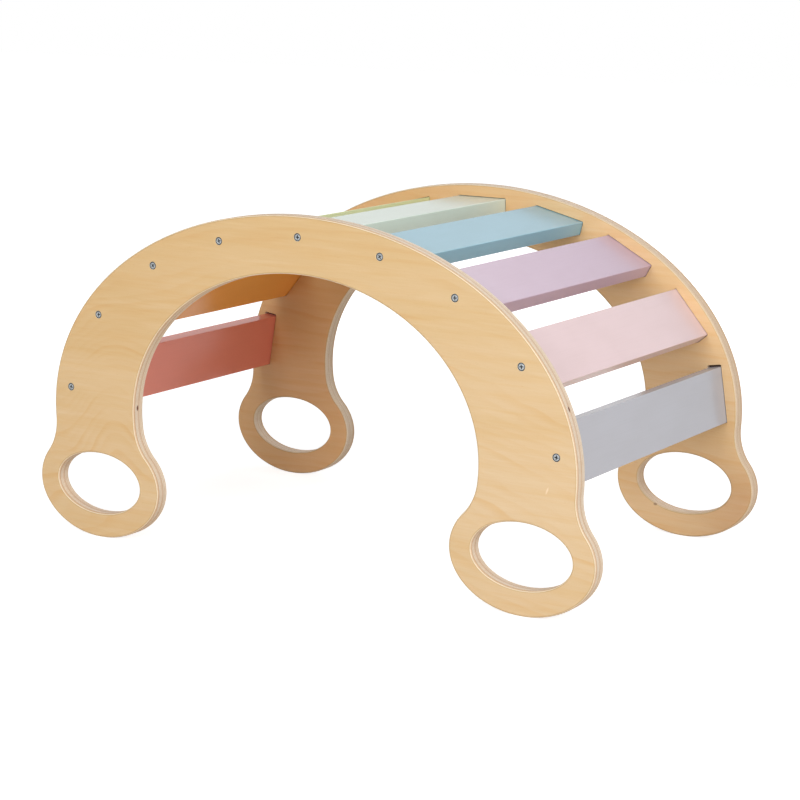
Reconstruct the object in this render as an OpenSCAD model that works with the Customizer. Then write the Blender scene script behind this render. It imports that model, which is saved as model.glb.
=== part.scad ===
// Rocker arch for small children: two arched plywood side panels that stand on oval
// ring feet, joined by painted slats. Each slat end sits in a blind pocket in the inner
// face of a panel and is drawn home by one countersunk cross-recess screw.
// X runs along the arch, Y from the front panel to the rear one, and Z up from the floor.

/* [Overall] */
// Width over the outer faces of the two side panels
overall_w = 457; // [380:1:600]
// Thickness of each plywood side panel
panel_t = 20; // [15:0.5:24]
// Radius that eases every outer edge of the panels
edge_r = 2.5; // [1:0.5:4]

/* [Arch] */
// Height from the floor to the top of the arch
arch_h = 443; // [420:1:500]
// Width over the outer curves of the two legs
arch_w = 770; // [740:1:800]
// Rise of the outer curve above the level where the legs are widest apart
arch_rise = 276; // [255:1:300]
// Width of the tunnel between the legs
tunnel_w = 509; // [490:1:540]
// Height from the floor to the top of the tunnel
tunnel_h = 372; // [350:1:380]
// Rise of the tunnel's curve above the level where it is widest
tunnel_rise = 202; // [185:1:220]
// Radius of the hollow between leg and foot on the outer side
waist_out_r = 67; // [50:1:90]
// Radius of the hollow between leg and foot on the tunnel side
waist_in_r = 66; // [50:1:90]

/* [Feet] */
// Distance from the middle of a leg inwards to the centre of its foot
foot_shift = 5.75; // [2:0.25:10]
// Width of each oval foot
foot_w = 195; // [180:1:210]
// Height of each oval foot, before its flat is sanded
foot_h = 141.4; // [130:0.2:150]
// Depth sanded off under each foot so that it stands flat
foot_flat = 0.3; // [0.2:0.1:1]
// Width of the oval grip hole in each foot
grip_w = 134; // [115:1:145]
// Height of the oval grip hole in each foot
grip_h = 80; // [65:1:90]
// Height of the grip hole's centre above the floor
grip_z = 71.6; // [66:0.2:76]

/* [Slats] */
// Width of each slat
slat_w = 73; // [60:1:78]
// Thickness of each slat
slat_t = 18; // [15:0.5:21]
// Radius on the long edges of each slat
slat_r = 1; // [0.5:0.5:3]
// Distance from the arch's outer curve to the middle of each slat
slat_inset = 25.5; // [23:0.5:28]
// Angle by which the two slats beside the level one at the top are tilted
tilt_2_deg = 13.6; // [13:0.1:14.5]
// Angle by which the third slats from the top are tilted
tilt_3_deg = 28.5; // [27.5:0.1:30]
// Angle by which the fourth slats from the top are tilted
tilt_4_deg = 49.7; // [48:0.1:52]
// Angle by which the lowest slats, on the legs, are tilted
tilt_5_deg = 80.9; // [76:0.1:82]
// Depth of the pocket that a slat end sits in
pocket_d = 6; // [4:0.5:9]
// Clearance all round a slat end in its pocket
pocket_gap = 0.4; // [0.2:0.1:1]
// Spare length of the lowest slats' pockets, which stays open above the slat
pocket_slack = 2.2; // [0:0.1:4]

/* [Screws] */
// Length of each screw from the top of its head to its tip
screw_l = 50; // [40:1:60]
// Diameter over the threads
screw_d = 5; // [4:0.5:6]
// Diameter of the countersunk head
head_d = 10; // [9:0.5:12]
// Height of the straight rim above the head's cone
head_rim = 0.5; // [0.3:0.1:1]
// Depth of the head's top below the panel's face
head_sink = 0.3; // [0.1:0.1:0.6]
// Length of the pointed tip
tip_l = 7; // [4:0.5:9]
// Width of the cross recess from tip to tip
recess_w = 5.4; // [4.5:0.1:6]
// Thickness of each arm of the cross recess
recess_t = 1.2; // [0.8:0.1:1.6]
// Depth of the cross recess
recess_d = 2; // [1:0.1:2.4]
// Clearance round the screw in the panel's hole
hole_gap = 0.3; // [0.1:0.1:0.5]
// Clearance round the screw in the slat's bore
bore_gap = 0.05; // [0.05:0.05:0.2]
// Spare depth of the slat's bore beyond the screw's tip
bore_spare = 2; // [1:0.5:4]

/* [Hidden] */

arch_n = 24;       // segments of half the arch's outer curve, and of half the tunnel's
waist_n = 8;       // segments of a hollow between leg and foot
foot_n = 32;       // segments of a foot, from one hollow round to the other
grip_n = 48;       // segments of a grip hole
edge_n = 3;        // segments of an eased edge
round_n = 48;      // segments of bores and screws
corner_n = 32;     // segments of a full turn on the slats' rounded edges
past = 1;          // how far a cut runs past the face it opens in
newton_n = 12;     // steps that settle where a hollow touches its two ovals
search_out = [0, 45];     // degrees on leg and foot where that search starts, outside
search_in = [0, 135];     // and on the tunnel side
full_turn = 360;

// Ovals of the panel in the XZ plane, each [centre, half width and half height]
arch = [[0, arch_h - arch_rise], [arch_w / 2, arch_rise]];
tunnel = [[0, tunnel_h - tunnel_rise], [tunnel_w / 2, tunnel_rise]];
foot_x = (arch_w + tunnel_w) / 4 - foot_shift;
foot = [[foot_x, foot_h / 2 - foot_flat], [foot_w / 2, foot_h / 2]];
grip = [[foot_x, grip_z], [grip_w / 2, grip_h / 2]];

right_tilts = [tilt_2_deg, tilt_3_deg, tilt_4_deg, tilt_5_deg];
tilts = concat([for (i = [3:-1:0]) -right_tilts[i]], [0], right_tilts);
face_y = overall_w / 2;                        // the panels' outer faces lie at -y and +y
slat_half = face_y - panel_t + pocket_d;       // half the slat's length, floor to floor
hole_d = screw_d + 2 * hole_gap;
bore_l = screw_l + head_sink + bore_spare - (panel_t - pocket_d);

birch = "#e5c695";
zinc = "#c4c8cb";

// ---- Plane geometry of the panel's outline ----

function unit(v) = v / norm(v);
function rim(oval, a) = oval[0] + [oval[1].x * cos(a), oval[1].y * sin(a)];
function out(oval, a) = unit([cos(a) / oval[1].x, sin(a) / oval[1].y]);

// Centre of a circle of radius r that touches an oval at angle a, outside it or inside it
function circle_at(oval, a, side, r) = rim(oval, a) + side * r * out(oval, a);

// Gap between the centres that a hollow would have on a leg's curve and on the foot
function miss(leg, side, r, t) = circle_at(leg, t.x, side, r) - circle_at(foot, t.y, 1, r);

// Angles on the leg's curve and on the foot where the hollow of radius r touches both
function touch(leg, side, r, t, steps = newton_n) = steps == 0 ? t :
  let (
    d = 0.01,
    e = miss(leg, side, r, t),
    u = (miss(leg, side, r, t + [d, 0]) - e) / d,
    v = (miss(leg, side, r, t + [0, d]) - e) / d
  )
  touch(leg, side, r, t - [cross(e, v), cross(u, e)] / cross(u, v), steps - 1);

// Stations of the outline, each [point, normal that points out of the wood]
function oval_run(oval, from, to, side, n) =
  [for (i = [0:n]) let (a = from + (to - from) * i / n) [rim(oval, a), side * out(oval, a)]];

function hollow_run(centre, r, from, to, n) =
  [for (i = [1:n - 1]) let (v = unit(from + (to - from) * i / n)) [centre - r * v, v]];

outer_touch = touch(arch, 1, waist_out_r, search_out);
inner_touch = touch(tunnel, -1, waist_in_r, search_in);

// Right half of the outline, from the top of the arch round the foot to the tunnel's top
right_half = concat(
  oval_run(arch, 90, outer_touch.x, 1, arch_n),
  hollow_run(
    circle_at(foot, outer_touch.y, 1, waist_out_r), waist_out_r,
    out(arch, outer_touch.x), out(foot, outer_touch.y), waist_n
  ),
  oval_run(foot, outer_touch.y, inner_touch.y - full_turn, 1, foot_n),
  hollow_run(
    circle_at(foot, inner_touch.y, 1, waist_in_r), waist_in_r,
    out(foot, inner_touch.y), -out(tunnel, inner_touch.x), waist_n
  ),
  oval_run(tunnel, inner_touch.x, 90, -1, arch_n)
);
half_n = len(right_half) - 1;
outline = concat(
  right_half,
  [for (i = [half_n - 1:-1:1]) [for (v = right_half[i]) [-v.x, v.y]]]
);

// Quarter-round of an eased edge: [depth below the face, distance in from the outline]
edge = [for (i = [0:edge_n]) let (a = 90 * i / edge_n) edge_r * [1 - cos(a), 1 - sin(a)]];
// The same at both faces of a panel, from the front face to the rear one
panel_edges = concat(
  edge, [for (i = [edge_n:-1:0]) [panel_t - edge[i].x, edge[i].y]]
);
// A hole's cutter keeps its widest size past both faces
hole_edges = concat(
  [[-past, edge_r]], panel_edges, [[panel_t + past, edge_r]]
);

// One ring of points on the plane y, moved along the stations' normals
function ring(stations, y, shift) =
  [for (s = stations) let (p = s[0] + shift * s[1]) [p.x, y, p.y]];

// Triangles that fill a run of rim points from one index to another like the rungs of a
// ladder: the first point is joined to the last, the second to the last but one, and so on
function ladder(from, to) = [
  for (i = [0:(to - from) / 2]) let (p = from + i, q = to - i) each concat(
    p + 1 < q ? [[p, p + 1, q]] : [],
    p + 1 < q - 1 ? [[p + 1, q - 1, q]] : []
  )
];

// Closed solid through rings of equally many points, which run clockwise seen from -Y.
// caps holds the triangles that close the first ring, as indices into it.
module loft(rings, caps) {
  n = len(rings[0]);
  last = len(rings) - 1;
  polyhedron(
    points = [for (r = rings) each r],
    faces = concat(
      [for (t = caps) [for (i = t) i % n]],
      [for (k = [0:last - 1]) for (i = [0:n - 1]) let (j = (i + 1) % n)
        each [[k * n + i, (k + 1) * n + i, k * n + j],
              [k * n + j, (k + 1) * n + i, (k + 1) * n + j]]],
      [for (t = caps) [for (i = [2:-1:0]) last * n + t[i] % n]]
    )
  );
}

// ---- Places of the slats ----

// Place on an oval, as rim() takes it, where the outward normal is this far from upright
function oval_angle(oval, tilt) = atan2(oval[1].y * cos(tilt), oval[1].x * sin(tilt));

// Moves children, which lie along Y at the origin, to the middle of slat k and tilts them
module at_slat(k) {
  a = oval_angle(arch, tilts[k]);
  middle = rim(arch, a) - slat_inset * out(arch, a);
  translate([middle.x, 0, middle.y]) rotate([0, tilts[k], 0]) children();
}

// Turns children that point up from the floor plane into ones that point along +Y
module along_y() rotate([-90, 0, 0]) children();

// Draws children that belong to the front panel, or the same mirrored for the rear one
module on_side(side) mirror([0, side == "rear" ? 1 : 0, 0]) translate([0, -face_y, 0]) children();

// ---- Side panels ----

module rounded_bar(w, t, r, l) {
  linear_extrude(l) union() {
    square([w, t - 2 * r], center = true);
    square([w - 2 * r, t], center = true);
    for (x = [-1, 1], y = [-1, 1])
      translate([x * (w / 2 - r), y * (t / 2 - r)]) circle(r, $fn = corner_n);
  }
}

module panel_blank() {
  loft(
    [for (e = panel_edges) ring(outline, e.x, -e.y)],
    concat(ladder(0, half_n), ladder(half_n, 2 * half_n))
  );
}

module grip_hole() {
  rim_stations = oval_run(grip, full_turn, full_turn / grip_n, 1, grip_n - 1);
  loft([for (e = hole_edges) ring(rim_stations, e.x, e.y)], ladder(0, grip_n - 1));
}

// The floor plane, which sands the flat under each foot
module floor_cut() {
  translate([-arch_w, -past, -foot_h]) cube([2 * arch_w, panel_t + 2 * past, foot_h]);
}

// Pocket for a slat end, open in the panel's inner face. The steepest slats, the lowest
// ones, rest on its lower end, with the slack above them.
module pocket(tilt) {
  slack = abs(tilt) > 60 ? pocket_slack : 0;
  translate([-sign(tilt) * slack / 2, panel_t - pocket_d, 0]) along_y()
    rounded_bar(
      slat_w + 2 * pocket_gap + slack, slat_t + 2 * pocket_gap, slat_r + pocket_gap,
      pocket_d + past
    );
}

// Screw hole with its countersink, which the screw's head seats on
module screw_hole() {
  rim_l = head_sink + head_rim;
  along_y() {
    cylinder(d = hole_d, h = panel_t, $fn = round_n);
    translate([0, 0, -past]) cylinder(d = head_d, h = past + rim_l, $fn = round_n);
    translate([0, 0, rim_l])
      cylinder(d1 = head_d, d2 = hole_d, h = (head_d - hole_d) / 2, $fn = round_n);
  }
}

module side_panel(side) {
  color(birch) on_side(side) difference() {
    panel_blank();
    floor_cut();
    grip_hole();
    mirror([1, 0, 0]) grip_hole();
    for (k = [0:len(tilts) - 1]) at_slat(k) {
      pocket(tilts[k]);
      screw_hole();
    }
  }
}

// ---- Slats ----

module slat(k, paint) {
  color(paint) at_slat(k) difference() {
    translate([0, -slat_half, 0]) along_y()
      rounded_bar(slat_w, slat_t, slat_r, 2 * slat_half);
    for (turn = [0, 180]) rotate([0, 0, turn]) translate([0, -slat_half - past, 0]) along_y()
      cylinder(d = screw_d + 2 * bore_gap, h = bore_l + past, $fn = round_n);
  }
}

// ---- Screws ----

// Countersunk screw with the top of its head at the origin, pointing up
module screw() {
  cone_l = (head_d - screw_d) / 2;
  difference() {
    rotate_extrude($fn = round_n) polygon([
      [0, 0], [head_d / 2, 0], [head_d / 2, head_rim], [screw_d / 2, head_rim + cone_l],
      [screw_d / 2, screw_l - tip_l], [0, screw_l]
    ]);
    for (turn = [0, 90]) rotate(turn) translate([-recess_w / 2, -recess_t / 2, -past])
      cube([recess_w, recess_t, recess_d + past]);
  }
}

// The front and the rear screw of slat k
module screw_pair(k) {
  color(zinc) for (side = ["front", "rear"])
    on_side(side) at_slat(k) translate([0, head_sink, 0]) along_y() screw();
}

side_panel("front");  // side_panel_front
side_panel("rear");  // side_panel_rear
slat(0, "#c9735e");  // slat_1_red
slat(1, "#dca45c");  // slat_2_orange
slat(2, "#ecd792");  // slat_3_yellow
slat(3, "#d3dba6");  // slat_4_lime
slat(4, "#cbdccb");  // slat_5_mint
slat(5, "#a3c5cf");  // slat_6_blue
slat(6, "#c8b4cc");  // slat_7_lilac
slat(7, "#e2cacb");  // slat_8_pink
slat(8, "#b9b8be");  // slat_9_grey
screw_pair(0);  // screws_1
screw_pair(1);  // screws_2
screw_pair(2);  // screws_3
screw_pair(3);  // screws_4
screw_pair(4);  // screws_5
screw_pair(5);  // screws_6
screw_pair(6);  // screws_7
screw_pair(7);  // screws_8
screw_pair(8);  // screws_9
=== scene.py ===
"""Looks of the wooden rocker arch: two birch plywood side panels, nine painted slats and
their zinc-plated screws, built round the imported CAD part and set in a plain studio.

Everything is in metres, in the part's own frame: X runs along the arch, Y from the front
panel to the rear one, and Z up from the floor.
"""

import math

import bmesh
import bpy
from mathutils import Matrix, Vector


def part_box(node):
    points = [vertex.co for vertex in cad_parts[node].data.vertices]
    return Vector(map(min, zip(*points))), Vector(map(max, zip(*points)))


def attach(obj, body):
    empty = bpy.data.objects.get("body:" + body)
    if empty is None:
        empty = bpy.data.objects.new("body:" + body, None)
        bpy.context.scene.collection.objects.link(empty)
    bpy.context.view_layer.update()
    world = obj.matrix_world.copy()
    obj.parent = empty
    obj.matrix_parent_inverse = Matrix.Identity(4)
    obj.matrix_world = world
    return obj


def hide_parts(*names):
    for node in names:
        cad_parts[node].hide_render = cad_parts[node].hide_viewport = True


bl_info = {
    "name": "Wooden rocker arch",
    "version": (1, 0, 0),
    "blender": (4, 5, 0),
    "location": "3D View > Sidebar > Rocker arch",
    "description": "Builds a plywood rocker arch with painted slats and its studio",
    "category": "Add Mesh",
}

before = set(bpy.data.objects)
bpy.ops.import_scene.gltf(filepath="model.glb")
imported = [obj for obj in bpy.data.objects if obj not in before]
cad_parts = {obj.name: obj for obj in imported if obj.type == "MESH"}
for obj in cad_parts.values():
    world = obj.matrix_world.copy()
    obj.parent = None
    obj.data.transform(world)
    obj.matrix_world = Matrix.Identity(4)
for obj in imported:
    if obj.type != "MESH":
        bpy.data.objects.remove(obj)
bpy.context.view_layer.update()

MM = 0.001
BODY = "root"
HALF_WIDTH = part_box("side_panel_rear")[1].y  # from the middle to a panel's outer face


def linear(code):
    """Linear colour of an sRGB hex value such as "#e5c695"."""
    parts = [int(code[i : i + 2], 16) / 255 for i in (1, 3, 5)]
    return [p / 12.92 if p <= 0.04045 else ((p + 0.055) / 1.055) ** 2.4 for p in parts]


def length(name, description, millimetres):
    """A length that a user may change, with its default in millimetres."""
    return bpy.props.FloatProperty(
        name=name, description=description, default=millimetres * MM, min=0, unit="LENGTH",
        precision=5,
    )


def paint(name, code):
    """A paint colour that a user may change."""
    return bpy.props.FloatVectorProperty(
        name=name, description=f"Paint of the {name.lower()} slat", default=linear(code),
        subtype="COLOR", size=3, min=0, max=1,
    )


# ---- What a user may change ----


class PanelSizes(bpy.types.PropertyGroup):
    """Sizes of the two plywood side panels"""

    thickness: length("Board", "Thickness of each side panel", 20)
    edge_radius: length("Eased edge", "Radius that eases the panels' edges", 2.5)
    arch_height: length("Arch height", "Height of the arch from the floor", 443)
    arch_width: length("Arch width", "Width over the outer curves of the legs", 770)
    arch_rise: length("Arch rise", "Rise of the outer curve above its widest level", 276)
    tunnel_height: length("Tunnel height", "Height of the tunnel from the floor", 372)
    tunnel_width: length("Tunnel width", "Width of the tunnel between the legs", 509)
    tunnel_rise: length("Tunnel rise", "Rise of the tunnel above its widest level", 202)
    outer_hollow: length("Outer hollow", "Radius between leg and foot, outside", 67)
    inner_hollow: length("Inner hollow", "Radius between leg and foot, in the tunnel", 66)
    foot_shift: length("Foot shift", "From a leg's middle inwards to its foot", 5.75)
    foot_width: length("Foot width", "Width of each oval foot", 195)
    foot_height: length("Foot height", "Height of each foot before its flat is sanded", 141.4)
    foot_flat: length("Foot flat", "Depth sanded off under each foot", 0.3)
    grip_width: length("Grip width", "Width of the grip hole in each foot", 134)
    grip_height: length("Grip height", "Height of the grip hole in each foot", 80)
    grip_level: length("Grip level", "Height of the grip hole's centre", 71.6)
    pocket_depth: length("Pocket depth", "Depth of the pocket for a slat end", 6)
    # Twice the gap in the solids, so that the dark line round a slat end shows
    pocket_gap: length("Pocket gap", "Clearance round a slat end in its pocket", 0.8)
    pocket_slack: length("Pocket slack", "Spare length above the lowest slats", 2.2)


class SlatSizes(bpy.types.PropertyGroup):
    """Sizes, places and paints of the nine slats"""

    width: length("Width", "Width of each slat", 73)
    thickness: length("Thickness", "Thickness of each slat", 18)
    edge_radius: length("Eased edge", "Radius on the slats' long edges", 1)
    inset: length("Inset", "From the arch's outer curve to the middle of a slat", 25.5)
    tilts: bpy.props.FloatVectorProperty(
        name="Tilts", description="Tilts of the slats beside the level one, going down",
        default=[math.radians(a) for a in (13.6, 28.5, 49.7, 80.9)], size=4,
        unit="ROTATION",
    )
    red: paint("Terracotta red", "#ea8976")
    orange: paint("Orange", "#f8aa4e")
    yellow: paint("Yellow", "#eed692")
    lime: paint("Lime", "#d7dfaa")
    mint: paint("Mint", "#dae8dc")
    blue: paint("Blue", "#94c2d4")
    lilac: paint("Lilac", "#c9b0c4")
    pink: paint("Pink", "#e8cfd2")
    grey: paint("Grey", "#b7b9c3")


class ScrewSizes(bpy.types.PropertyGroup):
    """Sizes of the countersunk screws"""

    overall: length("Length", "Length from the top of the head to the tip", 50)
    thread: length("Thread", "Diameter over the threads", 5)
    core: length("Core", "Diameter between the threads", 3.4)
    pitch: length("Pitch", "Distance from one thread to the next", 2.2)
    tip: length("Tip", "Length of the pointed tip", 7)
    head: length("Head", "Diameter of the countersunk head", 10)
    rim: length("Rim", "Height of the straight rim above the head's cone", 0.5)
    sink: length("Sink", "Depth of the head below the panel's face", 0.3)
    recess_width: length("Recess width", "Width of the cross recess", 5.4)
    recess_arm: length("Recess arm", "Thickness of each arm of the cross", 1.2)
    recess_depth: length("Recess depth", "Depth of the cross recess", 2)
    hole_gap: length("Hole gap", "Clearance round the screw in the panel", 0.3)
    bore_gap: length("Bore gap", "Clearance round the screw in the slat", 0.05)
    bore_spare: length("Spare bore", "Depth of the bore beyond the tip", 2)


class StageSettings(bpy.types.PropertyGroup):
    """Camera and floor of the studio"""

    eye: bpy.props.FloatVectorProperty(
        name="Eye", description="Place of the camera", size=3, unit="LENGTH",
        default=[1529.68 * MM, -2423.33 * MM, 767.94 * MM],
    )
    lens: bpy.props.FloatProperty(
        name="Lens", description="Focal length on a sensor 36 mm wide", default=101.21, min=1,
    )
    turn: bpy.props.FloatVectorProperty(
        name="Turn", description="Turn to the left, tilt upwards and roll of the camera",
        size=3, unit="ROTATION",
        default=[math.radians(a) for a in (32.1995, -11.5799, 0.5955)],
    )
    floor: length("Floor", "Half the side of the studio floor", 9000)


# The slats from the left legs over the top to the right ones, and their paints' slots
SLATS = ("red", "orange", "yellow", "lime", "mint", "blue", "lilac", "pink", "grey")
SLOTS = {name: f"paint_{name}" for name in SLATS} | {"red": "paint_terracotta_red"}


# ---- Shapes that the pieces share ----


def rim(oval, angle):
    """Point of an oval ((centre x, z), (half width, half height)) at an angle."""
    (x, z), (wide, high) = oval
    return Vector((x + wide * math.cos(angle), z + high * math.sin(angle)))


def outward(oval, angle):
    """Unit normal that points out of an oval there."""
    wide, high = oval[1]
    return Vector((math.cos(angle) / wide, math.sin(angle) / high)).normalized()


def arch_oval(sizes):
    return ((0, sizes.arch_height - sizes.arch_rise), (sizes.arch_width / 2, sizes.arch_rise))


def slat_places(panel, slats):
    """(tilt, centre) of each slat, from the left legs to the right ones."""
    oval = arch_oval(panel)
    wide, high = oval[1]
    tilts = [-t for t in reversed(slats.tilts)] + [0] + list(slats.tilts)
    places = []
    for tilt in tilts:
        angle = math.atan2(high * math.cos(tilt), wide * math.sin(tilt))
        places.append((tilt, rim(oval, angle) - slats.inset * outward(oval, angle)))
    return places


def new_piece(name, mesh):
    """An object for a finished mesh, which takes the place of an older one of that name."""
    old = bpy.data.objects.get(name)
    if old:
        bpy.data.objects.remove(old)
    mesh.name = name
    piece = bpy.data.objects.new(name, mesh)
    bpy.context.scene.collection.objects.link(piece)
    return piece


def hand_over(piece, slot, *nodes):
    """Rides the piece on the part, in place of its CAD nodes."""
    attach(piece, BODY)
    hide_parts(*nodes)


def bands(body, rings, smooth=True):
    """Bands of faces from each closed ring of vertices to the next."""
    for ring, following in zip(rings, rings[1:]):
        for i in range(len(ring)):
            quad = (ring[i - 1], ring[i], following[i], following[i - 1])
            body.faces.new(quad).smooth = smooth


def finished(body, name):
    """The plain mesh of a built body, with its faces turned outwards."""
    bmesh.ops.recalc_face_normals(body, faces=body.faces)
    mesh = bpy.data.meshes.new(name)
    body.to_mesh(mesh)
    body.free()
    return mesh


def shaped(piece):
    """The plain mesh that a piece's modifiers make."""
    evaluated = piece.evaluated_get(bpy.context.evaluated_depsgraph_get())
    return bpy.data.meshes.new_from_object(evaluated)


# ---- Side panels ----

ARCH_STEPS = 96    # faces along half the arch, and along half the tunnel
HOLLOW_STEPS = 16  # faces along a hollow between leg and foot
FOOT_STEPS = 96    # faces round a foot
GRIP_STEPS = 144   # faces round a grip hole
EDGE_STEPS = 6     # faces across an eased edge
HOLE_STEPS = 48    # faces round a screw hole
CORNER_STEPS = 8   # faces round a pocket's corner
LAP = 0.4 * MM     # strip beside an eased edge that takes up its shading
SEARCH_STEPS = 12  # of the search for a hollow's ends, far more than it needs
NUDGE = 1e-5       # by which that search moves an angle to see what it does
BREAK = 0.15 * MM  # rim of a countersink, broken by the tool

PANEL_SHARP = math.radians(30)  # bends that stay sharp in the shading of a panel
STEEP = math.radians(60)        # tilt beyond which a slat's pocket has slack


def touch(leg, side, foot, radius, start):
    """Angles on the leg's curve and on the foot where a hollow of that radius touches both."""

    def miss(a, b):
        return (
            rim(leg, a) + side * radius * outward(leg, a)
            - rim(foot, b) - radius * outward(foot, b)
        )

    a, b = (math.radians(angle) for angle in start)
    for _ in range(SEARCH_STEPS):
        gap = miss(a, b)
        along_a = (miss(a + NUDGE, b) - gap) / NUDGE
        along_b = (miss(a, b + NUDGE) - gap) / NUDGE
        scale = along_a.cross(along_b)
        a, b = a - gap.cross(along_b) / scale, b - along_a.cross(gap) / scale
    return a, b


def oval_run(oval, start, end, side, steps):
    """Stations (point, normal out of the wood) along an oval."""
    angles = [start + (end - start) * i / steps for i in range(steps + 1)]
    return [(rim(oval, a), side * outward(oval, a)) for a in angles]


def hollow_run(centre, radius, start, end, steps):
    """Stations inside a hollow, between the normals at its two ends."""
    normals = [start.lerp(end, i / steps).normalized() for i in range(1, steps)]
    return [(centre - radius * n, n) for n in normals]


def panel_outline(sizes):
    """Stations all round a side panel, from the top of the arch."""
    arch = arch_oval(sizes)
    tunnel = (
        (0, sizes.tunnel_height - sizes.tunnel_rise),
        (sizes.tunnel_width / 2, sizes.tunnel_rise),
    )
    foot = (
        (foot_centre(sizes), sizes.foot_height / 2 - sizes.foot_flat),
        (sizes.foot_width / 2, sizes.foot_height / 2),
    )
    a_out, b_out = touch(arch, 1, foot, sizes.outer_hollow, (0, 45))
    a_in, b_in = touch(tunnel, -1, foot, sizes.inner_hollow, (0, 135))
    out_centre = rim(foot, b_out) + sizes.outer_hollow * outward(foot, b_out)
    in_centre = rim(foot, b_in) + sizes.inner_hollow * outward(foot, b_in)
    right = oval_run(arch, math.pi / 2, a_out, 1, ARCH_STEPS)
    right += hollow_run(
        out_centre, sizes.outer_hollow, outward(arch, a_out), outward(foot, b_out),
        HOLLOW_STEPS,
    )
    right += oval_run(foot, b_out, b_in - 2 * math.pi, 1, FOOT_STEPS)
    right += hollow_run(
        in_centre, sizes.inner_hollow, outward(foot, b_in), -outward(tunnel, a_in),
        HOLLOW_STEPS,
    )
    right += oval_run(tunnel, a_in, math.pi / 2, -1, ARCH_STEPS)
    left = [(Vector((-p.x, p.y)), Vector((-n.x, n.y))) for p, n in reversed(right[1:-1])]
    return right + left


def foot_centre(sizes):
    return (sizes.arch_width + sizes.tunnel_width) / 4 - sizes.foot_shift


def eased_rings(sizes):
    """(depth below the outer face, distance in from the outline) of each ring of an edge."""
    radius = sizes.edge_radius
    angles = [math.pi / 2 * i / EDGE_STEPS for i in range(EDGE_STEPS + 1)]
    near = [(radius * (1 - math.cos(a)), radius * (1 - math.sin(a))) for a in angles]
    near = [(0, radius + LAP), *near, (radius + LAP, 0)]
    return near + [(sizes.thickness - depth, inset) for depth, inset in reversed(near)]


def circle(centre, radius):
    """Stations round a screw hole."""
    angles = [2 * math.pi * i / HOLE_STEPS for i in range(HOLE_STEPS)]
    rays = [Vector((math.cos(a), math.sin(a))) for a in angles]
    return [(centre + radius * ray, -ray) for ray in rays]


def pocket_outline(centre, tilt, width, thickness, radius):
    """Stations round the pocket for a slat end."""
    turned = Matrix.Rotation(-tilt, 2)
    stations = []
    for quarter, (x, z) in enumerate(((1, 1), (-1, 1), (-1, -1), (1, -1))):
        corner = Vector((x * (width / 2 - radius), z * (thickness / 2 - radius)))
        for i in range(CORNER_STEPS + 1):
            angle = math.pi / 2 * (quarter + i / CORNER_STEPS)
            ray = Vector((math.cos(angle), math.sin(angle)))
            stations.append((centre + turned @ (corner + radius * ray), -(turned @ ray)))
    return stations


class PanelMesh:
    """Builds one side panel from rings of vertices. side is -1 in front and 1 at the rear."""

    def __init__(self, side):
        self.side = side
        self.body = bmesh.new()

    def ring(self, stations, depth, inset=0.0):
        """A ring at a depth below the outer face, cut off at the floor under the feet."""
        y = self.side * (HALF_WIDTH - depth)
        places = [point - inset * normal for point, normal in stations]
        return [self.body.verts.new((p.x, y, max(p.y, 0))) for p in places]

    def fill(self, *rings):
        """A flat face inside the first ring, with the others as holes in it."""
        edges = [
            self.body.edges.get((ring[i - 1], ring[i]))
            for ring in rings
            for i in range(len(ring))
        ]
        made = bmesh.ops.triangle_fill(
            self.body, use_beauty=True, use_dissolve=False, edges=edges,
            normal=(0, self.side, 0),
        )
        faces = [f for f in made["geom"] if isinstance(f, bmesh.types.BMFace)]
        if not faces:
            raise RuntimeError("a flat face of a side panel couldn't be filled")
        for face in faces:
            face.smooth = False

    def finish(self):
        mesh = finished(self.body, "side panel")
        mesh.set_sharp_from_angle(angle=PANEL_SHARP)
        return mesh


def side_panel(side):
    """Mesh of one side panel with its grip holes, pockets and countersunk screw holes."""
    scene = bpy.context.scene
    sizes, slats, screws = scene.rocker_panels, scene.rocker_slats, scene.rocker_screws
    panel = PanelMesh(side)
    edges = eased_rings(sizes)
    outer, inner = [], []
    foot_x = foot_centre(sizes)
    grips = [
        oval_run(
            ((x, sizes.grip_level), (sizes.grip_width / 2, sizes.grip_height / 2)),
            0, 2 * math.pi, -1, GRIP_STEPS,
        )[:-1]
        for x in (foot_x, -foot_x)
    ]
    for stations in (panel_outline(sizes), *grips):
        rings = [panel.ring(stations, depth, inset) for depth, inset in edges]
        bands(panel.body, rings)
        outer.append(rings[0])
        inner.append(rings[-1])

    floor_depth = sizes.thickness - sizes.pocket_depth
    hole = screws.thread / 2 + screws.hole_gap
    head = screws.head / 2
    seat = screws.sink + screws.rim
    for tilt, centre in slat_places(sizes, slats):
        profile = (
            (head + BREAK, 0), (head, BREAK), (head, seat),
            (hole, seat + head - hole), (hole, floor_depth),
        )
        bores = [panel.ring(circle(centre, radius), depth) for radius, depth in profile]
        bands(panel.body, bores)
        # The steepest slats rest on the lower ends of their pockets, with slack above them
        gap = sizes.pocket_gap
        slack = sizes.pocket_slack if abs(tilt) > STEEP else 0.0
        uphill = math.copysign(1, -tilt)
        along = Vector((math.cos(tilt), -math.sin(tilt)))
        pocket = pocket_outline(
            centre + uphill * slack / 2 * along, tilt, slats.width + 2 * gap + slack,
            slats.thickness + 2 * gap, slats.edge_radius + gap,
        )
        mouth = panel.ring(pocket, sizes.thickness)
        floor = panel.ring(pocket, floor_depth)
        bands(panel.body, [mouth, floor], smooth=False)
        panel.fill(floor, bores[-1])
        outer.append(bores[0])
        inner.append(mouth)
    panel.fill(*outer)
    panel.fill(*inner)
    return panel.finish()


# ---- Node trees ----


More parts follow.
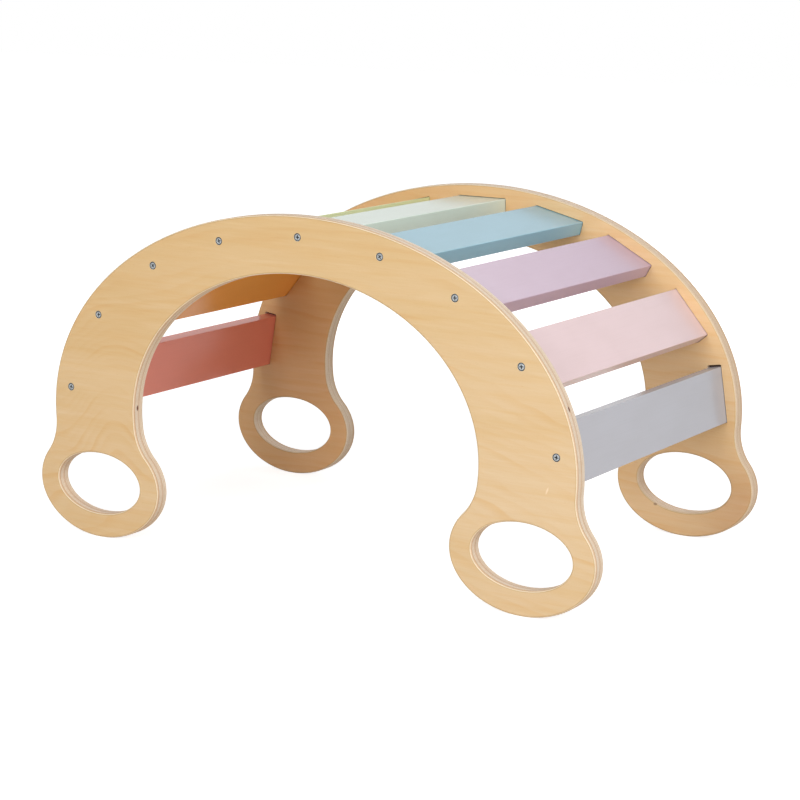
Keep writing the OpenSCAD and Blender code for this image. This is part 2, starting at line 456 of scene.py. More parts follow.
def feed(tree, made, inputs):
    """Fills a node's inputs, in order, or by name or number. Each takes a value, a socket,
    or a node that is read at its first output."""
    pairs = inputs.items() if isinstance(inputs, dict) else enumerate(inputs)
    for key, value in pairs:
        if isinstance(value, bpy.types.Node):
            value = value.outputs[0]
        if isinstance(value, bpy.types.NodeSocket):
            tree.links.new(value, made.inputs[key])
        else:
            made.inputs[key].default_value = value


def node(tree, kind, inputs=(), **settings):
    """Adds a node with its settings and inputs. It is a shader node, unless its kind is
    written in full."""
    made = tree.nodes.new(kind if "Node" in kind else f"ShaderNode{kind}")
    for name, value in settings.items():
        setattr(made, name, value)
    feed(tree, made, inputs)
    return made


def shape_tree(name, sockets):
    """A Geometry Nodes tree with its named inputs, and the sockets that give them."""
    tree = bpy.data.node_groups.new(name, "GeometryNodeTree")
    tree.interface.new_socket("Geometry", in_out="INPUT", socket_type="NodeSocketGeometry")
    tree.interface.new_socket("Geometry", in_out="OUTPUT", socket_type="NodeSocketGeometry")
    for socket, kind in sockets.items():
        tree.interface.new_socket(socket, in_out="INPUT", socket_type=f"NodeSocket{kind}")
    return tree, node(tree, "NodeGroupInput").outputs


def end_tree(tree, shape, material):
    """Ends a tree in real faces with their material."""
    real = node(tree, "GeometryNodeRealizeInstances", (shape,))
    painted = node(tree, "GeometryNodeSetMaterial", {"Geometry": real, "Material": material})
    node(tree, "NodeGroupOutput", (painted,))


def grow(tree, values, seed_mesh):
    """The plain mesh that a tree makes from its input values and a starting mesh."""
    host = bpy.data.objects.new("growing", seed_mesh)
    bpy.context.scene.collection.objects.link(host)
    modifier = host.modifiers.new("shape", "NODES")
    modifier.node_group = tree
    for socket in tree.interface.items_tree:
        if socket.in_out == "INPUT" and socket.name in values:
            modifier[socket.identifier] = values[socket.name]
    mesh = shaped(host)
    host.modifiers.remove(modifier)
    bpy.data.objects.remove(host)
    if not mesh.polygons:
        raise RuntimeError(f"{tree.name} made no faces")
    return mesh


# ---- Slats ----

FILLET_STEPS = 12  # faces across a slat's eased edge
BORE_STEPS = 48    # faces round a bore
FLAT = 0.9999      # a normal's part along an axis, above which its face is a flat one


def slat_tree():
    """Slat: a rounded bar along Y with a bore in each end, tilted and moved into place."""
    tree, given = shape_tree(
        "painted slat",
        {
            "Width": "Float", "Thickness": "Float", "Edge radius": "Float",
            "Length": "Float", "Bore": "Float", "Bore depth": "Float",
            "Centre": "Vector", "Tilt": "Float", "Material": "Material",
        },
    )
    profile = node(
        tree, "GeometryNodeCurvePrimitiveQuadrilateral",
        {"Width": given["Width"], "Height": given["Thickness"]},
    )
    profile = node(
        tree, "GeometryNodeFilletCurve",
        {"Curve": profile, "Count": FILLET_STEPS, "Radius": given["Edge radius"]},
        mode="POLY",
    )
    ends = []
    for part in (-0.5, 0.5):
        away = node(tree, "Math", (given["Length"], part), operation="MULTIPLY")
        ends.append(node(tree, "CombineXYZ", {"Y": away}))
    line = node(
        tree, "GeometryNodeCurvePrimitiveLine", {"Start": ends[0], "End": ends[1]}
    )
    bar = node(tree, "GeometryNodeCurveToMesh", {0: line, 1: profile, "Fill Caps": True})
    # Each bore's cutter runs past the slat's end by as much as it goes in
    cutter = node(
        tree, "GeometryNodeMeshCylinder",
        {
            "Vertices": BORE_STEPS,
            "Radius": node(tree, "Math", (given["Bore"], 0.5), operation="MULTIPLY"),
            "Depth": node(tree, "Math", (given["Bore depth"], 2.0), operation="MULTIPLY"),
        },
    )
    for end in ends:
        cut = node(
            tree, "GeometryNodeTransform",
            {"Geometry": cutter, "Translation": end, "Rotation": (math.pi / 2, 0, 0)},
        )
        bar = node(
            tree, "GeometryNodeMeshBoolean", (bar, cut), operation="DIFFERENCE",
            solver="EXACT",
        )
    # Only the rounded edges are shaded smooth, so that the faces stay flat to the eye
    normal = node(tree, "GeometryNodeInputNormal")
    normal = node(tree, "VectorMath", (normal,), operation="ABSOLUTE")
    x, y, z = node(tree, "SeparateXYZ", (normal,)).outputs
    steepest = node(tree, "Math", (y, z), operation="MAXIMUM")
    steepest = node(tree, "Math", (x, steepest), operation="MAXIMUM")
    rounded = node(tree, "Math", (steepest, FLAT), operation="LESS_THAN")
    bar = node(tree, "GeometryNodeSetShadeSmooth", {0: bar, "Shade Smooth": False})
    bar = node(
        tree, "GeometryNodeSetShadeSmooth",
        {0: bar, "Selection": rounded, "Shade Smooth": True},
    )
    placed = node(
        tree, "GeometryNodeTransform",
        {
            "Geometry": bar, "Translation": given["Centre"],
            "Rotation": node(tree, "CombineXYZ", {"Y": given["Tilt"]}),
        },
    )
    end_tree(tree, placed, given["Material"])
    return tree


# ---- Screws ----

SCREW_STEPS = 48                 # faces round a screw
THREAD_STEPS = 6                 # rings along one turn of the thread
NECK = 1.0 * MM                  # plain stretch between a screw's head and its thread
BLUNT = 0.3 * MM                 # from the last ring of the thread to the point
SCREW_SHARP = math.radians(35)   # bends that stay sharp in the shading of a screw


def screw_profile(sizes):
    """(distance below the top of the head, radius) down a screw's head and neck."""
    play = 0.06 * MM     # between the head and its countersink
    soften = 0.2 * MM    # rounding of the head's edge, in two faces
    flare = 0.4 * MM     # from the cone's bend to the corner it would make with the core
    runout = 0.3 * MM    # and from there to the plain core
    head, core = sizes.head / 2 - play, sizes.core / 2
    meet = sizes.rim + head - core  # that corner's depth, with a cone at 45 degrees
    return [
        (0, head - soften), (0.3 * soften, head - 0.3 * soften), (soften, head),
        (sizes.rim, head), (meet - flare, core + flare), (meet + runout, core),
    ]


def screw_mesh(sizes):
    """One screw along +Y, with the top of its head at the origin and a cross recess in it."""
    body = bmesh.new()
    turn = [2 * math.pi * i / SCREW_STEPS for i in range(SCREW_STEPS)]

    def ring(y, radius_at):
        verts = []
        for angle in turn:
            radius = radius_at(angle)
            verts.append(
                body.verts.new((radius * math.cos(angle), y, radius * math.sin(angle)))
            )
        return verts

    profile = screw_profile(sizes)
    rings = [ring(y, lambda _, r=radius: r) for y, radius in profile]
    crest, core = sizes.thread / 2, sizes.core / 2
    first = profile[-1][0] + NECK
    y = first
    while y < sizes.overall - BLUNT:
        # The thread fades in below the neck and runs down to the point
        taper = min(1.0, (sizes.overall - y) / sizes.tip)
        fade = min(1.0, (y - first) / sizes.pitch)

        def radius_at(angle, y=y, taper=taper, fade=fade):
            phase = (y / sizes.pitch - angle / (2 * math.pi)) % 1
            ridge = max(0.0, 1 - abs(phase - 0.5) * 4)
            return taper * (core + (crest - core) * ridge * fade)

        rings.append(ring(y, radius_at))
        y += sizes.pitch / THREAD_STEPS
    bands(body, rings)
    point = body.verts.new((0, sizes.overall, 0))
    for i in range(SCREW_STEPS):
        body.faces.new((rings[-1][i - 1], rings[-1][i], point)).smooth = True
    body.faces.new(rings[0])
    return cut_recess(finished(body, "screw"), sizes)


def cut_recess(screw, sizes):
    """The screw's mesh with a tapered cross recess cut into its head."""
    cutter = bmesh.new()
    above = 0.5 * MM  # by which the cutter stands out of the head
    # (depth, reach of the arms, their thickness), as parts of the recess's sizes
    taper = ((0, 1, 1), (0.8, 0.68, 0.8), (1, 0.4, 0.7))
    levels = [(-above, 1, 1)] + [(sizes.recess_depth * deep, *rest) for deep, *rest in taper]
    rings = []
    for y, long, thick in levels:
        reach, arm = sizes.recess_width / 2 * long, sizes.recess_arm / 2 * thick
        corners = []
        for quarter in range(4):
            turned = Matrix.Rotation(math.pi / 2 * quarter, 2)
            for x, z in ((arm, arm), (arm, reach), (-arm, reach)):
                place = turned @ Vector((x, z))
                corners.append(cutter.verts.new((place.x, y, place.y)))
        rings.append(corners)
    bands(cutter, rings, smooth=False)
    cutter.faces.new(rings[0])
    cutter.faces.new(rings[-1])
    pair = [
        bpy.data.objects.new(mesh.name, mesh)
        for mesh in (screw, finished(cutter, "cross recess"))
    ]
    for piece in pair:
        bpy.context.scene.collection.objects.link(piece)
    cut = pair[0].modifiers.new("recess", "BOOLEAN")
    cut.operation, cut.solver, cut.object = "DIFFERENCE", "EXACT", pair[1]
    made = shaped(pair[0])
    for piece in pair:
        bpy.data.objects.remove(piece)
    made.set_sharp_from_angle(angle=SCREW_SHARP)
    return made


def screws_tree():
    """Screws: the starting mesh at both ends of a slat, heads outwards, spun at random."""
    tree, given = shape_tree(
        "countersunk screws",
        {
            "Half length": "Float", "Centre": "Vector", "Seed": "Int",
            "Material": "Material",
        },
    )
    half = node(tree, "CombineXYZ", {"Y": given["Half length"]})
    start, end = (
        node(tree, "VectorMath", (given["Centre"], half), operation=way)
        for way in ("SUBTRACT", "ADD")
    )
    # In this mode the socket called Offset takes the second end
    ends = node(
        tree, "GeometryNodeMeshLine", {"Count": 2, "Start Location": start, "Offset": end},
        mode="END_POINTS",
    )
    spin = node(
        tree, "FunctionNodeRandomValue", {"Seed": given["Seed"]}, data_type="FLOAT"
    )
    spin = node(tree, "Math", (spin.outputs[1], 2 * math.pi), operation="MULTIPLY")
    # Every point keeps its place in mm on its own screw, for the material
    own = node(
        tree, "VectorMath", {0: node(tree, "GeometryNodeInputPosition"), "Scale": 1 / MM},
        operation="SCALE",
    )
    screw = node(
        tree, "GeometryNodeStoreNamedAttribute",
        {"Geometry": given["Geometry"], "Name": "own_place", "Value": own},
        data_type="FLOAT_VECTOR",
    )
    number = node(tree, "GeometryNodeInputIndex")
    about = node(tree, "Math", (number, math.pi), operation="MULTIPLY")
    placed = node(
        tree, "GeometryNodeInstanceOnPoints",
        {
            "Points": ends, "Instance": screw,
            "Rotation": node(tree, "CombineXYZ", {"Y": spin, "Z": about}),
        },
    )
    end_tree(tree, placed, given["Material"])
    return tree


# ---- Materials ----

SMOOTH = {"interpolation_type": "SMOOTHSTEP"}  # for a Map Range node that eases in and out


def new_material(name):
    """A material with only a Principled BSDF, and the piece's own coordinates in mm."""
    old = bpy.data.materials.get(name)
    if old:
        bpy.data.materials.remove(old)
    material = bpy.data.materials.new(name)
    material.use_nodes = True
    tree = material.node_tree
    place = node(tree, "TexCoord")
    mm = node(
        tree, "VectorMath", {0: place.outputs["Object"], "Scale": 1 / MM}, operation="SCALE"
    )
    return material, tree, tree.nodes["Principled BSDF"], place, mm


def noise(tree, vector, grain, detail=2.0, roughness=0.5):
    """Noise from 0 to 1 whose grains are about this many mm in each direction."""
    finer = [1 / size for size in grain]
    stretched = node(tree, "VectorMath", (vector, finer), operation="MULTIPLY")
    return node(
        tree, "TexNoise",
        {"Vector": stretched, "Scale": 1.0, "Detail": detail, "Roughness": roughness},
    )


def coats(tree, base, *layers):
    """Lays colours over a base: MIX hides what is below, and MULTIPLY stains it. Each layer
    has (mode, factor, colour), where the factor may be a Map Range's inputs: a value, the
    range it eases over and what it eases to. A colour is a hex value or a socket."""

    def given(colour):
        return [*linear(colour), 1] if isinstance(colour, str) else colour

    colour = given(base)
    for mode, factor, over in layers:
        if isinstance(factor, tuple):
            factor = node(tree, "MapRange", factor, **SMOOTH)
        mixed = node(
            tree, "Mix", {0: factor, 6: colour, 7: given(over)}, data_type="RGBA",
            blend_type=mode,
        )
        colour = mixed.outputs[2]
    return colour


def spot(tree, mm, place, reach, strength, lean=0.0):
    """A small oval mark of that strength at a place in mm, fading to 0 at its rim."""
    apart = node(tree, "VectorMath", (mm, place), operation="SUBTRACT")
    x, y, z = node(tree, "SeparateXYZ", (apart,)).outputs
    x = node(tree, "Math", (z, -lean, x), operation="MULTIPLY_ADD")
    apart = node(tree, "CombineXYZ", (x, y, z))
    apart = node(tree, "VectorMath", (apart, reach), operation="DIVIDE")
    distance = node(tree, "VectorMath", (apart,), operation="LENGTH").outputs["Value"]
    return node(tree, "MapRange", (distance, 0.4, 1.0, strength, 0.0), **SMOOTH)


# Small brown knots in the plies, and one pale scuff on the front face: (place, half sizes)
# in mm, and strength
KNOTS = (
    ((-254.3, -220.0, 177.0), (6, 2.2, 4.8), 1.0),
    ((367.2, -219.0, 250.0), (6, 2.0, 4.2), 1.0),
    ((274.2, 208.8, 37.2), (3.6, 1.5, 2.4), 0.6),
)
SCUFF = ((346.6, -228.5, 154.2), (1.6, 1, 5.5), 0.3)
SCUFF_LEAN = 0.35  # mm along X for each mm up


def growth_rings(tree, grain, on_face):
    """Late-wood lines: contours of a slow field, sharp on one side, each of its own
    strength. On the face veneer they sweep over the arch and round the left leg."""
    spacing = 14.0                            # mm from one line to the next
    turn, bend, slope = 40.0, 110.0, 0.27     # the sweep over the arch, in mm, and its slope
    leg, leg_size, leg_rise = (-290.0, 0.0, 165.0), (62.0, 1.0, 120.0), -62.0  # all in mm
    skirt = 1.4                               # reach of the leg's sweep, in such half sizes
    sharp = 0.86                              # part of the spacing at which a line is darkest

    x, _, z = node(tree, "SeparateXYZ", (grain,)).outputs
    bow = node(tree, "Math", (x, turn), operation="SUBTRACT")
    bow = node(tree, "Math", (bow, bow, bend ** 2), operation="MULTIPLY_ADD")
    bow = node(tree, "Math", (bow,), operation="SQRT")
    bow = node(tree, "Math", (bow, slope), operation="MULTIPLY")
    hill = node(tree, "CombineXYZ", {"X": x, "Z": z})
    hill = node(tree, "VectorMath", (hill, leg), operation="SUBTRACT")
    hill = node(tree, "VectorMath", (hill, leg_size), operation="DIVIDE")
    hill = node(tree, "VectorMath", (hill,), operation="LENGTH").outputs["Value"]
    hill = node(tree, "MapRange", (hill, skirt, 0.0, 0.0, leg_rise), **SMOOTH)
    level = z
    for sweep in (bow, hill):
        level = node(tree, "Math", (sweep, on_face, level), operation="MULTIPLY_ADD")
    level = node(tree, "Math", (level, spacing), operation="DIVIDE")
    wander = noise(tree, grain, (230, 1, 70), roughness=0.4)
    waver = noise(tree, grain, (45, 1, 16), detail=1)
    for wave, lines in ((wander, 4.5), (waver, 0.3)):
        level = node(tree, "Math", (wave, lines, level), operation="MULTIPLY_ADD")

    phase = node(tree, "Math", (level,), operation="FRACT")
    late = node(tree, "MapRange", (phase, 0.2, sharp), **SMOOTH)
    late = node(tree, "MapRange", (phase, sharp, 1.0, late, 0.0), **SMOOTH)
    number = node(tree, "Math", (level,), operation="FLOOR")
    own = node(tree, "TexWhiteNoise", {"W": number}, noise_dimensions="1D")
    own = node(tree, "Math", (own, 2.2), operation="POWER")
    own = node(tree, "Math", (own, 0.55, 0.12), operation="MULTIPLY_ADD")
    presence = noise(tree, grain, (120, 1, 40), detail=1)
    presence = node(tree, "MapRange", (presence, 0.34, 0.62, 0.2, 1.0), **SMOOTH)
    strength = node(tree, "Math", (own, presence), operation="MULTIPLY")
    return node(tree, "Math", (late, strength), operation="MULTIPLY")


def birch_plywood():
    """Birch plywood of 15 plies, sanded and lacquered satin. Its face veneer is peeled off
    the log, so its growth rings show as wide wandering contours; its edges show the plies
    as stripes, the crosswise ones darker where their end grain is cut."""
    material, tree, shader, place, mm = new_material("birch plywood, clear satin lacquer")
    sizes = bpy.context.scene.rocker_panels
    inner_plies = 13
    veneer = 1.0     # mm of face veneer left after sanding
    glue = 0.2       # mm; the real lines are 0.1 mm thick, too fine to show
    ply = (sizes.thickness / MM - 2 * veneer) / inner_plies
    x, y, z = node(tree, "SeparateXYZ", (mm,)).outputs

    # Which ply a point is in: -1 and 13 are the face veneers, and odd plies run along X
    depth = node(tree, "Math", (y,), operation="ABSOLUTE")
    depth = node(tree, "Math", (HALF_WIDTH / MM, depth), operation="SUBTRACT")
    level = node(tree, "Math", (depth, veneer), operation="SUBTRACT")
    level = node(tree, "Math", (level, ply), operation="DIVIDE")
    number = node(tree, "Math", (level,), operation="FLOOR")
    along_x = node(tree, "Math", (number, 2.0), operation="FLOORED_MODULO")
    outer_veneer = node(tree, "Math", (level, 0.0), operation="LESS_THAN")
    inner_veneer = node(tree, "Math", (level, inner_plies), operation="GREATER_THAN")
    face = node(tree, "Math", (outer_veneer, inner_veneer), operation="MAXIMUM")
    # Every ply is cut from another place in the log
    side = node(tree, "Math", (y,), operation="SIGN")
    seed = node(tree, "Math", (side, 3.3), operation="MULTIPLY")
    seed = node(tree, "Math", (number, 7.31, seed), operation="MULTIPLY_ADD")
    lengthwise = node(tree, "CombineXYZ", (x, seed, z))
    crosswise = node(tree, "CombineXYZ", (z, seed, x))
    grain = node(
        tree, "Mix", {0: along_x, 4: crosswise, 5: lengthwise}, data_type="VECTOR"
    ).outputs[1]
    late = growth_rings(tree, grain, outer_veneer)
    broad = noise(tree, grain, (380, 1, 70))
    streak = noise(tree, grain, (150, 1, 7), detail=3, roughness=0.6)
    pale = noise(tree, grain, (90, 1, 9))
    fibre = noise(tree, grain, (26, 1, 0.8), detail=3, roughness=0.65)
    fleck = noise(tree, grain, (3.2, 1, 0.45), detail=1)

    # facing is 1 on the faces, and falls across the eased edges to 0 on the cut edges
    normal = node(tree, "VectorMath", (place.outputs["Normal"],), operation="ABSOLUTE")
    facing_x, facing, facing_z = node(tree, "SeparateXYZ", (normal,)).outputs
    # The right toes of the inner faces, which get painted shade
    toe_shade_mask = node(tree, "MapRange", (x, 320, 400, 0.0, inner_veneer), **SMOOTH)
    colour = coats(
        tree, "#dfc297",
        ("MIX", (broad, 0.3, 0.7), "#dbbc8c"),
        ("MIX", (pale, 0.5, 0.8, 0.0, 0.45), "#e4cba4"),
        ("MULTIPLY", (streak, 0.42, 0.75, 0.0, 0.5), "#fcf1de"),
        ("MULTIPLY", late, "#f8e6ca"),
        ("MULTIPLY", (fibre, 0.35, 0.7, 0.0, 0.35), "#f8f2ea"),
        ("MULTIPLY", (fleck, 0.68, 0.8, 0.0, 0.35), "#dcc4a8"),
        # Painted shade: the outer faces are painted darker and cooler than the inner ones, to
        # even out the stronger light on them, and yellower to the left and yellower and darker
        # to the top, after how the light falls across them
        ("MULTIPLY", outer_veneer, "#e9ebf0"),
        ("MULTIPLY", (x, 300, -300, 0.0, outer_veneer), "#fffcf6"),
        ("MULTIPLY", (z, 100, 400, 0.0, outer_veneer), "#f8f5eb"),
        # Painted shade and warm bounce light: the inner faces are painted darker and redder on
        # the left legs, which the arch shades and the red and orange slats light warmly, and
        # browner on the right toes, in a slat's shadow
        ("MULTIPLY", inner_veneer, "#fefaf9"),
        ("MULTIPLY", (x, 250, -250, 0.0, inner_veneer), "#f3e5d8"),
        ("MULTIPLY", (z, 130, 60, 0.0, toe_shade_mask), "#ece2df"),
        # Painted shade: where the edges start to bend, the faces are painted darker to tone
        # down the lamps' highlight there
        ("MULTIPLY", (facing, 0.9995, 0.98, 0.0, face), "#e8e2d6"),
    )

    # Cut edges: pale plies, browner where end grain shows, with thin glue lines between
    end_grain = node(
        tree, "Mix", {0: along_x, 2: facing_z, 3: facing_x}, data_type="FLOAT"
    )
    tone = node(tree, "Math", (side, 0.37, number), operation="MULTIPLY_ADD")
    tone = node(tree, "TexWhiteNoise", {"W": tone}, noise_dimensions="1D")
    lines = noise(tree, grain, (12, 1, 0.9))
    rear = node(tree, "Math", (side, 0.0), operation="MAXIMUM")
    from_glue = node(tree, "Math", (level, 0.5), operation="PINGPONG")
    edge = coats(
        tree, "#efe3d4",
        ("MIX", (end_grain, 0.2, 0.9), "#e4d3bc"),
        # Some plies are browner all through
        ("MULTIPLY", (tone, 0.45, 1.0, 0.0, 0.9), "#e6d0b8"),
        ("MIX", face, "#dfd3ba"),
        ("MULTIPLY", (lines, 0.4, 0.75, 0.0, 0.5), "#eee0cc"),
        # Painted shade: the rear board's edges are painted browner towards the right, where
        # less light reaches them
        ("MULTIPLY", (x, -50, 250, 0.0, rear), "#f7f0e7"),
        ("MULTIPLY", (from_glue, glue / ply, 0.0, 0.0, 0.7), "#c09a78"),
    )
    cut = node(tree, "MapRange", (facing, 0.97, 0.8), **SMOOTH)
    pocket_floor = (sizes.thickness - sizes.pocket_depth) / MM
    floor = node(tree, "Math", (depth, pocket_floor, 0.05), operation="COMPARE")
    colour = coats(
        tree, colour,
        ("MIX", cut, edge),
        # Painted shade: the floors of the pockets, seen only in the narrow gaps round the slat
        # ends, are painted dark
        ("MULTIPLY", (facing, 0.9, 0.99, 0.0, floor), "#4a3325"),
        *(("MULTIPLY", spot(tree, mm, *knot), "#70381b") for knot in KNOTS),
        ("MIX", spot(tree, mm, *SCUFF, lean=SCUFF_LEAN), "#f6e9d2"),
    )

    roughness = node(tree, "MapRange", (fibre, 0.3, 0.7, 0.40, 0.50), **SMOOTH)
    roughness = node(tree, "Math", (cut, 0.15, roughness), operation="MULTIPLY_ADD")
    relief = node(tree, "MapRange", (fleck, 0.68, 0.8, 0.0, -0.8), **SMOOTH)
    relief = node(tree, "Math", (fibre, 0.6, relief), operation="MULTIPLY_ADD")
    feed(
        tree, shader,
        {
            "Base Color": colour, "Roughness": roughness,
            # End grain drinks the lacquer, so the cut edges shine less
            "Specular IOR Level": node(
                tree, "MapRange", (facing, 0.97, 0.9995, 0.35, 0.5), **SMOOTH
            ),
            "Normal": node(
                tree, "Bump", {"Strength": 0.3, "Distance": 0.04 * MM, "Height": relief}
            ),
        },
    )
    return material


def satin_paint(name, colour):
    """Water-based satin paint, rolled on solid wood: a fine stipple from the roller, with
    the grain of the slat just showing through along its length."""
    material, tree, shader, _, mm = new_material(f"satin water-based paint, {name}")
    stipple = noise(tree, mm, (0.9, 0.9, 0.9))
    fibres = noise(tree, mm, (1.6, 70, 1.6))
    cloud = noise(tree, mm, (40, 90, 40))
    relief = node(tree, "Math", (stipple, 0.3), operation="MULTIPLY")
    relief = node(tree, "Math", (fibres, 0.3, relief), operation="MULTIPLY_ADD")
    feed(
        tree, shader,
        {
            "Base Color": coats(
                tree, [*colour, 1],
                ("MULTIPLY", (fibres, 0.45, 0.75, 0.0, 0.12), "#f0eeec"),
                ("MULTIPLY", (cloud, 0.35, 0.7, 0.0, 0.3), "#f5f3f1"),
            ),
            "Roughness": node(tree, "MapRange", (stipple, 0.3, 0.7, 0.20, 0.27), **SMOOTH),
            "Normal": node(
                tree, "Bump", {"Strength": 0.2, "Distance": 0.05 * MM, "Height": relief}
            ),
        },
    )
    return material


def zinc_plate():
    """Blue-passivated zinc plating on a steel screw: a cool grey metal, lightly mottled and
    rougher at the rim of the head, with painted shade darkening that rim and the head's cross
    recess."""
    material, tree, shader, _, mm = new_material("zinc-plated steel")
    sizes = bpy.context.scene.rocker_screws
    head, cross, deep = (
        size / MM for size in (sizes.head / 2, sizes.recess_width / 2, sizes.recess_depth)
    )
    spare = 0.2  # mm by which the recess's painted shade reaches past it
    mottle = noise(tree, mm, (1.2, 1.2, 1.2), detail=3)
    own = node(tree, "Attribute", attribute_name="own_place").outputs["Vector"]
    depth = node(tree, "SeparateXYZ", (own,)).outputs["Y"]
    reach = node(tree, "VectorMath", (own, (1, 0, 1)), operation="MULTIPLY")
    reach = node(tree, "VectorMath", (reach,), operation="LENGTH").outputs["Value"]
    # The head's rim gets painted shade, from the countersink's wall, and is rougher
    rim_shade_and_dulling = node(tree, "MapRange", (reach, head - 1.5, head - 0.9), **SMOOTH)
    inside = node(tree, "Math", (reach, cross + spare), operation="LESS_THAN")
    shallow = node(tree, "Math", (depth, deep + spare), operation="LESS_THAN")
    recess_shade_mask = node(tree, "Math", (inside, shallow), operation="MULTIPLY")
    roughness = node(tree, "MapRange", (mottle, 0.3, 0.7, 0.22, 0.34), **SMOOTH)
    roughness = node(tree, "Math", (rim_shade_and_dulling, 0.12, roughness), operation="MULTIPLY_ADD")
    feed(
        tree, shader,
        {
            "Base Color": coats(
                tree, "#abafb1",
                ("MIX", (mottle, 0.35, 0.7), "#84898c"),
                # Painted shade on the head's rim and in its cross recess
                ("MULTIPLY", rim_shade_and_dulling, "#5a6067"),
                ("MULTIPLY", (depth, 0.05, 0.9, 0.0, recess_shade_mask), "#33383d"),
            ),
            "Metallic": 1.0, "Roughness": roughness,
        },
    )
    return material


# ---- Stage ----

AMBIENT = 0.22           # strength of the world's light on the object
LOOK_AT = (0, 0, 0.2)    # where the lamps point, in metres
LAMPS = (                # name, place and side in metres, watts
    ("camera softbox", (2.42, -1.40, 1.95), 1.8, 45),
    ("front softbox", (0, -2.99, 1.59), 1.8, 50),
    ("rear softbox", (0, 2.12, 2.73), 1.8, 17),
    ("low camera softbox", (2.83, -1.63, 0.66), 1.3, 16),
    ("low front softbox", (0, -3.27, 0.66), 1.3, 20),
    ("low rear softbox", (0, 3.27, 0.66), 1.3, 24),
)


def seen(tree):
    """1 for what the camera sees, also in reflections, and 0 for the light on the object."""
    rays = node(tree, "LightPath").outputs
    return node(
        tree, "Math", (rays["Is Camera Ray"], rays["Is Glossy Ray"]), operation="MAXIMUM"
    )


def studio_floor(half):
    """A pale matt floor that shows white to the camera and keeps the soft shadow."""
    mesh = bpy.data.meshes.new("studio floor")
    below = -0.1 * MM
    corners = [(x * half, y * half, below) for x, y in ((-1, -1), (1, -1), (1, 1), (-1, 1))]
    mesh.from_pydata(corners, [], [(0, 1, 2, 3)])
    floor = new_piece("studio_floor", mesh)
    material, tree, shader, _, mm = new_material("matt white studio floor")
    tree.nodes.remove(shader)
    direct = seen(tree)
    # What it throws back on the object is warm
    shade = coats(tree, "#dacec0", ("MIX", direct, "#bcbcbc"))
    matt = node(tree, "BsdfDiffuse", {"Color": shade})
    # Beyond the lamps' light it glows more, so that it stays white up to the horizon
    away = node(tree, "VectorMath", (mm,), operation="LENGTH").outputs["Value"]
    level = node(tree, "MapRange", (away, 700, 2200, 0.8, 0.97), **SMOOTH)
    level = node(tree, "Math", (direct, level), operation="MULTIPLY")
    glow = node(tree, "Emission", {"Strength": level})
    both = node(tree, "AddShader", (matt, glow))
    feed(tree, tree.nodes["Material Output"], {"Surface": both})
    mesh.materials.append(material)


def studio_world():
    """A world that is white to the camera and in reflections, and a soft fill elsewhere."""
    world = bpy.data.worlds.new("studio")
    world.use_nodes = True
    tree = world.node_tree
    strength = node(tree, "Mix", {0: seen(tree), 2: AMBIENT, 3: 1.0}, data_type="FLOAT")
    feed(tree, tree.nodes["Background"], {"Color": (1, 1, 1, 1), "Strength": strength})
    bpy.context.scene.world = world


def softbox(name, place, side, watts):
    """A square area lamp that looks at the middle of the object."""
    lamp = bpy.data.lights.new(name, "AREA")
    lamp.shape, lamp.size, lamp.energy = "SQUARE", side, watts
    holder = bpy.data.objects.new(name, lamp)
    holder.location = place
    aim = Vector(LOOK_AT) - Vector(place)
    holder.rotation_euler = aim.to_track_quat("-Z", "Y").to_euler()
    bpy.context.scene.collection.objects.link(holder)


def studio_camera(stage):
    """The camera at the photograph's place, as it was fitted to the part."""
    turn, tilt, roll = stage.turn
    ahead = Vector((
        -math.sin(turn) * math.cos(tilt), math.cos(turn) * math.cos(tilt), math.sin(tilt)
    ))
    right = ahead.cross(Vector((0, 0, 1))).normalized()
    up = right.cross(ahead)
    right, up = (
        math.cos(roll) * right + math.sin(roll) * up,
        math.cos(roll) * up - math.sin(roll) * right,
    )
    camera = bpy.data.cameras.new("studio camera")
    camera.lens, camera.sensor_width = stage.lens, 36
    camera.clip_end = 100
    holder = bpy.data.objects.new("studio camera", camera)
    axes = Matrix((right, up, -ahead)).transposed().to_4x4()
    holder.matrix_world = Matrix.Translation(stage.eye) @ axes
    bpy.context.scene.collection.objects.link(holder)
    bpy.context.scene.camera = holder


# ---- Operators ----


class ROCKER_OT_side_panels(bpy.types.Operator):
    """Builds the two plywood side panels"""

    bl_idname = "rocker.side_panels"
    bl_label = "Side panels"

    def execute(self, context):
        material = birch_plywood()
        for name, side in (("front", -1), ("rear", 1)):
            mesh = side_panel(side)
            mesh.materials.append(material)
            piece = new_piece(f"plywood_panel_{name}", mesh)
            hand_over(piece, "birch_plywood", f"side_panel_{name}")
        return {"FINISHED"}


class ROCKER_OT_slats(bpy.types.Operator):
    """Builds the nine painted slats"""

    bl_idname = "rocker.slats"
    bl_label = "Slats"

    def execute(self, context):
        scene = context.scene
        panel, sizes, screws = scene.rocker_panels, scene.rocker_slats, scene.rocker_screws
        in_pocket = panel.thickness - panel.pocket_depth
        tree = slat_tree()
        for number, (name, (tilt, centre)) in enumerate(
            zip(SLATS, slat_places(panel, sizes)), start=1
        ):
            values = {
                "Width": sizes.width, "Thickness": sizes.thickness,
                "Edge radius": sizes.edge_radius,
                "Length": 2 * (HALF_WIDTH - in_pocket),
                "Bore": screws.thread + 2 * screws.bore_gap,
                "Bore depth": screws.overall + screws.sink + screws.bore_spare - in_pocket,
                "Centre": (centre.x, 0.0, centre.y), "Tilt": tilt,
                "Material": satin_paint(name, getattr(sizes, name)),
            }
            mesh = grow(tree, values, bpy.data.meshes.new("slat"))
            piece = new_piece(f"painted_slat_{number}", mesh)
            hand_over(piece, SLOTS[name], f"slat_{number}_{name}")
        return {"FINISHED"}


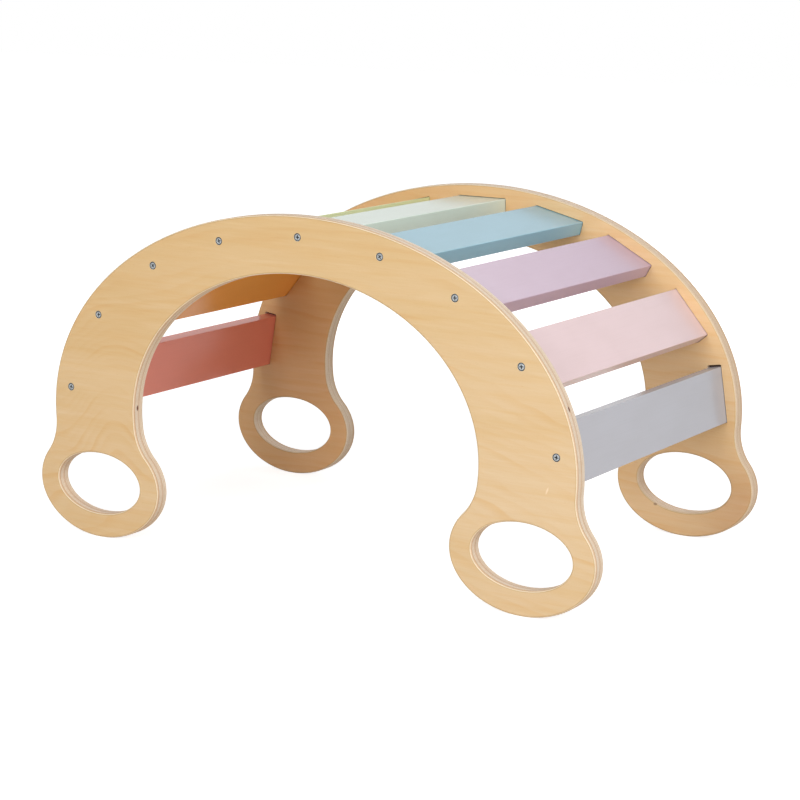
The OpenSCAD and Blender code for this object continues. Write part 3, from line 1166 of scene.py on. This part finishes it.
class ROCKER_OT_screws(bpy.types.Operator):
    """Builds the screws at both ends of each slat"""

    bl_idname = "rocker.screws"
    bl_label = "Screws"

    def execute(self, context):
        scene = context.scene
        sizes = scene.rocker_screws
        screw = screw_mesh(sizes)
        tree, material = screws_tree(), zinc_plate()
        places = slat_places(scene.rocker_panels, scene.rocker_slats)
        for number, (_, centre) in enumerate(places, start=1):
            values = {
                "Half length": HALF_WIDTH - sizes.sink,
                "Centre": (centre.x, 0.0, centre.y), "Seed": number, "Material": material,
            }
            piece = new_piece(f"zinc_screws_{number}", grow(tree, values, screw))
            hand_over(piece, "zinc_screw", f"screws_{number}")
        return {"FINISHED"}


class ROCKER_OT_stage(bpy.types.Operator):
    """Sets up the camera, the lamps, the floor and the world"""

    bl_idname = "rocker.stage"
    bl_label = "Studio"

    def execute(self, context):
        stage = context.scene.rocker_stage
        studio_camera(stage)
        studio_floor(stage.floor)
        studio_world()
        for lamp in LAMPS:
            softbox(*lamp)
        context.scene.view_settings.view_transform = "Standard"
        return {"FINISHED"}


class ROCKER_PT_sidebar(bpy.types.Panel):
    """Lists the sizes and the operators"""

    bl_label = "Rocker arch"
    bl_space_type = "VIEW_3D"
    bl_region_type = "UI"
    bl_category = "Rocker arch"

    def draw(self, context):
        for group, operator in GROUPS:
            settings = getattr(context.scene, group)
            box = self.layout.box()
            for name in settings.bl_rna.properties.keys():
                if name not in ("rna_type", "name"):
                    box.prop(settings, name)
            box.operator(operator)


GROUPS = (
    ("rocker_panels", "rocker.side_panels"),
    ("rocker_slats", "rocker.slats"),
    ("rocker_screws", "rocker.screws"),
    ("rocker_stage", "rocker.stage"),
)
# The settings come first, in the order of GROUPS
CLASSES = (
    PanelSizes, SlatSizes, ScrewSizes, StageSettings, ROCKER_OT_side_panels,
    ROCKER_OT_slats, ROCKER_OT_screws, ROCKER_OT_stage, ROCKER_PT_sidebar,
)


def register():
    for cls in CLASSES:
        bpy.utils.register_class(cls)
    for (group, _), settings in zip(GROUPS, CLASSES):
        setattr(bpy.types.Scene, group, bpy.props.PointerProperty(type=settings))


def unregister():
    for group, _ in GROUPS:
        delattr(bpy.types.Scene, group)
    for cls in reversed(CLASSES):
        bpy.utils.unregister_class(cls)


def main():
    register()
    bpy.ops.rocker.side_panels()
    bpy.ops.rocker.slats()
    bpy.ops.rocker.screws()
    bpy.ops.rocker.stage()


if __name__ == "__main__":
    main()
